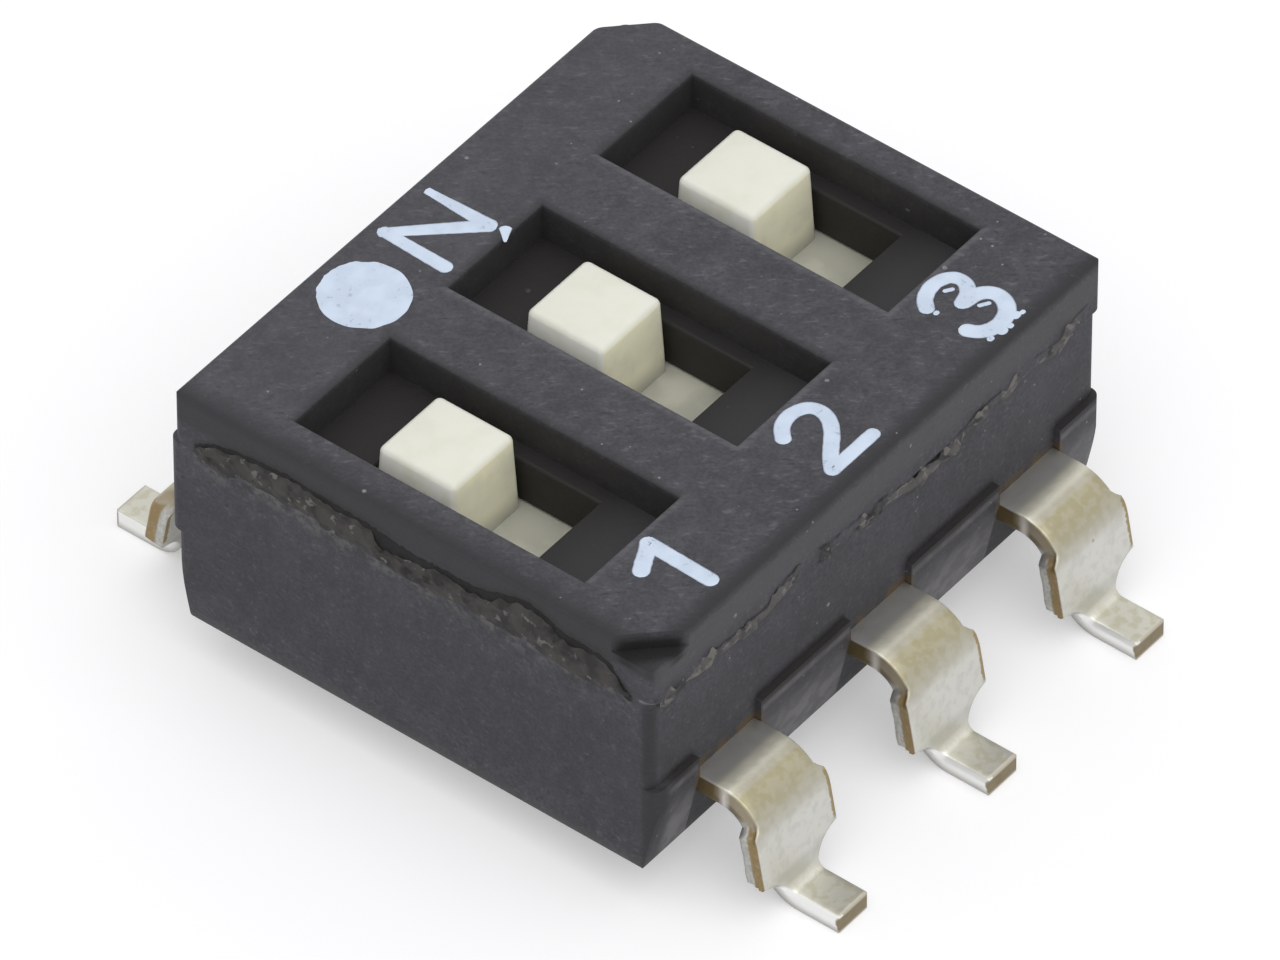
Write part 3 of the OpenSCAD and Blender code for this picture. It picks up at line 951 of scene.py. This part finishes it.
colour = (wavy.rise(0.44, 0.56) * wavy.fall(1.03, 1.16)).tint(TIN, TIN_BRIGHT)
colour = (fleck.rise(0.45, 0.65) * 0.35).tint(colour, tone(192, 191, 184))
bloom = wavy.rise(0.95, 1.42) * (0.8 + 0.2 * fleck.rise(0.4, 0.6))
colour = (bloom * (1 - 0.4 * z.rise(1.45, 1.48))).tint(colour, TAN)
# painted highlight on the crest of the knee
crest_highlight = z.rise(1.44, 1.48) * abs(y).rise(3.36, 3.48) * abs(y).fall(3.56, 3.65)
colour = crest_highlight.tint(colour, tone(222, 219, 203))
colour = (z.fall(0.24, 0.5) * 0.6).tint(colour, tone(222, 220, 204))
colour = (z.fall(0.24, 0.34) * fleck.rise(0.45, 0.62) * 0.5).tint(colour, tone(192, 186, 160))
# painted reflection of the dark wall on the level run by the body
dark_wall_reflection = z.rise(1.4, 1.48) * abs(y).fall(3.34, 3.46)
colour = (dark_wall_reflection * 0.9).tint(colour, tone(176, 175, 173))
colour = (tin.specks(2.4, 0.02, 0.2) * 0.5).tint(colour, tone(120, 112, 96))
print("the faces take", len(tin.tree.nodes), "nodes")

# %% [markdown]
# A blanked edge tells how it was cut. Next to the outer face the sheet tore and shows brown
# alloy, and next to the inner face it was burnished smooth, with fine streaks across the sheet.
# The sides of the foot carry a painted highlight along their upper half and those of the shoulder
# are dark, with a painted glint where the knee starts and another along the foot. The end of the
# toe was cut last and is bare too.

# %% Show the cut sides and finish the tin
CUT_BROWN = tone(162, 141, 102)
CUT_DARK = tone(104, 94, 74)

streaks = tin.streaks((3, 22, 22), 3.0)
low_side = z.fall(0.28, 0.4)
cut = streaks.rise(0.35, 0.65).tint(tone(182, 180, 172), tone(200, 200, 196))
# painted highlight along the upper half of the foot's sides
foot_side = depth.rise(0.5, 0.95).tint(tone(252, 252, 250), tone(210, 209, 204))
cut = low_side.tint(cut, foot_side)
shoulder = z.rise(1.12, 1.25)
cut = shoulder.tint(cut, tone(170, 158, 136))
cut = (shoulder * depth.rise(0.55, 0.8) * 0.7).tint(cut, CUT_DARK)
# painted glint on the cut side where the knee starts
cut = (shoulder * abs(y).near(3.52, 0.09)).tint(cut, tone(236, 230, 222))
cut = (shoulder * abs(y).fall(3.36, 3.46)).tint(cut, tone(124, 108, 74))
torn = (depth + (streaks - 0.5) * 0.2).fall(0.5, 0.62) * abs(own).rise(0.48, 0.54)
torn = torn * z.rise(0.3, 0.36) * z.fall(1.16, 1.22)
cut = (torn * (0.6 + 0.4 * streaks.rise(0.3, 0.5))).tint(cut, CUT_BROWN)
sheet_face = depth.fall(0.05, 0.09).most(depth.rise(0.97, 0.99))
colour = (1 - sheet_face).tint(colour, cut)

tip = abs(y).rise(4.79, 4.82)
colour = tip.tint(colour, tone(196, 190, 176))
core = depth.near(0.5, 0.48).rise(0.05, 0.35)
colour = (tip * core * (0.7 + 0.3 * fleck)).tint(colour, tone(138, 124, 94))
outward = 0 - own * abs(y) / y
ear_rim = (outward + (streaks - 0.5) * 0.06).rise(0.545, 0.565)
ear_rim = ear_rim * z.rise(0.6, 0.64) * z.fall(1.2, 1.26)
colour = (ear_rim * sheet_face * 0.9).tint(colour, tone(158, 138, 92))
# painted glint along one upper edge of the foot
glint = depth.near(0.06, 0.07) * outward.fall(-0.2, -0.19) * z.fall(0.26, 0.32)
colour = (glint * 0.9).tint(colour, tone(255, 255, 254))
bare = torn * (1 - sheet_face) + tip
tin.feed("Base Color", colour)
tin.feed("Roughness", 0.36 + fleck * 0.14 + bare * 0.2)
burnish = streaks * (1 - sheet_face) * (1 - low_side) * 0.8
tin.relief(fleck * 0.6 + tin.grain(30, 2) * 0.25 + burnish, 0.35, 0.012)
dress(tin, *terminals)
print("tin plate has", len(tin.tree.nodes), "nodes")

# %% [markdown]
# ## Lettering
#
# The lettering is pad-printed in a pale blue-white ink, in strokes of one width with round
# ends: a filled O, an N with a drip at its corner, and the digits 1 to 3. A
# stroke is drawn as a path with a round bevel whose radius falls as a half circle at both
# ends, made a mesh and then pressed flat on the cover.

# %% Round the ends and the corners of a stroke
INK = 0.006


def half_round(way, length, half):
    """The radius of a stroke at a place along it, with round ends."""
    short = half - min(way, length - way)
    return 1 if short <= 0 else sqrt(max(0, 1 - (short / half) ** 2))


def resample(points, step):
    """Points at even steps along a broken line, with how far along each one is."""
    lengths = [hypot(b[0] - a[0], b[1] - a[1]) for a, b in zip(points, points[1:])]
    total = sum(lengths)
    count = max(2, int(total / step))
    result = []
    for i in range(count + 1):
        way = total * i / count
        left = way
        for (a, b), length in zip(zip(points, points[1:]), lengths):
            if left <= length or (a, b) == (points[-2], points[-1]):
                share = min(1, left / length)
                result.append((a[0] + (b[0] - a[0]) * share, a[1] + (b[1] - a[1]) * share, way))
                break
            left -= length
    return result, total


def rounded_way(points, turns=2):
    """Cuts the corners of a broken line, so that it bends as a pen does."""
    for _ in range(turns):
        cut = [points[0]]
        for a, b in zip(points, points[1:]):
            cut.append((a[0] * 0.75 + b[0] * 0.25, a[1] * 0.75 + b[1] * 0.25))
            cut.append((a[0] * 0.25 + b[0] * 0.75, a[1] * 0.25 + b[1] * 0.75))
        points = cut + [points[-1]]
    return points


print("strokes are", INK, "mm high")

# %% [markdown]
# The radius of each point of a curve scales the bevel there, so it gives a stroke its width.
# A little noise in it keeps the edge from looking ruled.

# %% Draw a stroke
STROKE_STEP = 0.012
THINNEST = 0.001


def stroke(name, points, width, end_width=None):
    """A stroke of ink with round ends, which may widen on its way."""
    deselect()
    half = max(width, end_width or width) / 2
    first, last = width / 2 / half, (end_width or width) / 2 / half
    a, b, c, d = Vector(points[0]), Vector(points[1]), Vector(points[-2]), Vector(points[-1])
    start = tuple(a - (b - a).normalized() * half)
    end = tuple(d + (d - c).normalized() * half)
    way, total = resample([start] + points[1:-1] + [end], STROKE_STEP)
    bpy.ops.curve.primitive_nurbs_path_add()
    path = bpy.context.object
    path.name = name
    path.data.splines.clear()
    spline = path.data.splines.new("POLY")
    spline.points.add(len(way) - 1)
    for point, (px, py, at) in zip(spline.points, way):
        point.co = (px * MM, py * MM, 0, 1)
        rough = 1 + 0.05 * noise.noise(Vector((px * 14, py * 14, 3)))
        share = first + (last - first) * at / total
        point.radius = max(THINNEST, min(share, half_round(at, total, half)) * rough)
    path.data.bevel_depth = half * MM
    path.data.bevel_resolution = 3
    path.data.use_fill_caps = True
    bpy.ops.object.convert(target="MESH")
    piece = bpy.context.object
    pressed = Matrix.Diagonal((1, 1, INK / half, 1))
    piece.data.transform(Matrix.Translation((0, 0, (TOP + INK * 0.2) * MM)) @ pressed)
    shade_smooth(piece)
    return piece


print("a stroke has a point every", STROKE_STEP, "mm")

# %% [markdown]
# The ways below follow the middle of each stroke. The pad slipped a little at the 3: blots
# hang from its lower bow, and two small islets of ink lie in its hollows.

# %% Print the lettering
ONE_FLAG = [(-2.85, -2.27), (-2.7, -2.19), (-2.56, -2.13), (-2.49, -2.08)]
TWO_BOW = [
    (-0.42, -2.22), (-0.3, -2.1), (-0.133, -2.055), (0.001, -2.08), (0.113, -2.15),
    (0.150, -2.28), (0.095, -2.43), (-0.042, -2.57), (-0.22, -2.69), (-0.37, -2.8), (-0.47, -2.9)
]
THREE_TOP = [
    (2.03, -2.2), (2.13, -2.09), (2.33, -2.03), (2.5, -2.07), (2.59, -2.16), (2.585, -2.3),
    (2.47, -2.41), (2.32, -2.445)
]
THREE_BOTTOM = [
    (2.35, -2.455), (2.54, -2.48), (2.655, -2.61), (2.63, -2.77), (2.51, -2.9), (2.32, -2.95),
    (2.16, -2.91), (2.07, -2.83), (2.03, -2.74)
]
BLOTS = [
    (2.08, -3.0, 0.075), (2.25, -3.02, 0.12), (2.36, -3.045, 0.07), (2.52, -2.99, 0.11),
    (2.6, -3.02, 0.06), (2.035, -2.325, 0.06)
]

letters = {
    "ink_n": [stroke("n_right", [(0.204, 2.9), (0.196, 2.155)], 0.1, 0.2),
              stroke("n_slope", [(0.180, 2.15), (-0.550, 2.92)], 0.2, 0.14),
              stroke("n_left", [(-0.560, 2.92), (-0.580, 2.12)], 0.155, 0.185),
              stroke("n_drip", [(0.232, 1.955), (0.160, 1.9)], 0.16, 0.03)],
    "ink_1": [stroke("one_flag", rounded_way(ONE_FLAG), 0.195),
              stroke("one_stem", [(-2.49, -2.09), (-2.515, -2.9)], 0.2)],
    "ink_2": [stroke("two_bow", rounded_way(TWO_BOW), 0.18),
              stroke("two_foot", [(-0.465, -2.905), (0.2, -2.905)], 0.175)],
    "ink_3": [stroke("three_top", rounded_way(THREE_TOP), 0.18),
              stroke("three_bottom", rounded_way(THREE_BOTTOM), 0.2),
              *[stroke(f"blot_{i}", [(px - 0.01, py), (px + 0.01, py)], width)
                for i, (px, py, width) in enumerate(BLOTS)],
              stroke("top_islet", [(2.35, -2.195), (2.42, -2.24)], 0.055),
              stroke("low_islet", [(2.4, -2.61), (2.49, -2.665)], 0.055)],
}
for name, strokes in letters.items():
    deselect()
    for part in strokes:
        part.select_set(True)
    bpy.context.view_layer.objects.active = strokes[0]
    bpy.ops.object.join()
    letters[name] = bpy.context.object
    letters[name].name = name
print("printed", ", ".join(letters))

# %% [markdown]
# The O is filled in, so it is a disc and not a ring. It starts as a circle whose rim is pushed
# in and out a little, most at its far edge, where the ink is nicked. It is then extruded to
# the height of the ink and bevelled on top.

# %% Print the filled O
DISC_X, DISC_Y, DISC_RADIUS = -1.43, 2.51, 0.503

deselect()
bpy.ops.mesh.primitive_circle_add(vertices=96, radius=DISC_RADIUS * MM, fill_type="NGON",
                                  location=(DISC_X * MM, DISC_Y * MM, (TOP - 0.002) * MM))
disc = bpy.context.object
disc.name = "ink_o"
bpy.ops.object.transform_apply()
for vertex in disc.data.vertices:
    spoke = vertex.co - Vector((DISC_X, DISC_Y, TOP)) * MM
    spoke.z = 0
    nicks = 0.035 * max(0, spoke.y / MM) * noise.noise(spoke / MM * 16)
    vertex.co += spoke.normalized() * (noise.noise(spoke / MM * 6) * 0.018 + nicks) * MM
open_mesh()
bpy.ops.mesh.extrude_region_move(TRANSFORM_OT_translate={"value": (0, 0, INK * MM)})
bpy.ops.mesh.bevel(offset=0.003 * MM, segments=2)
turn_out_and_close()
letters["ink_o"] = disc
print("the disc has", len(disc.data.polygons), "faces")

# %% [markdown]
# Ink that was pressed on is never quite even. It is thinner in places, worn through at some
# of those, and it has pin holes.

# %% Paint the ink
ink = Finish("pale_ink", Roughness=0.5, Specular_IOR_Level=0.35)
thin = ink.grain(3.2, 4)
worn = ink.grain(20, 3)
colour = thin.rise(0.35, 0.62).tint(tone(208, 221, 239), tone(198, 211, 229))
colour = ((worn.rise(0.6, 0.66) * thin.rise(0.5, 0.58)) * 0.5).tint(colour, tone(150, 158, 172))
colour = (ink.specks(2.3, 0.018, 0.1) * 0.6).tint(colour, tone(96, 100, 110))
ink.feed("Base Color", colour)
ink.relief(worn + thin, 0.2, 0.004)
dress(ink, *letters.values())
for piece in letters.values():
    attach(piece, "housing")
print("inked", len(letters), "marks")
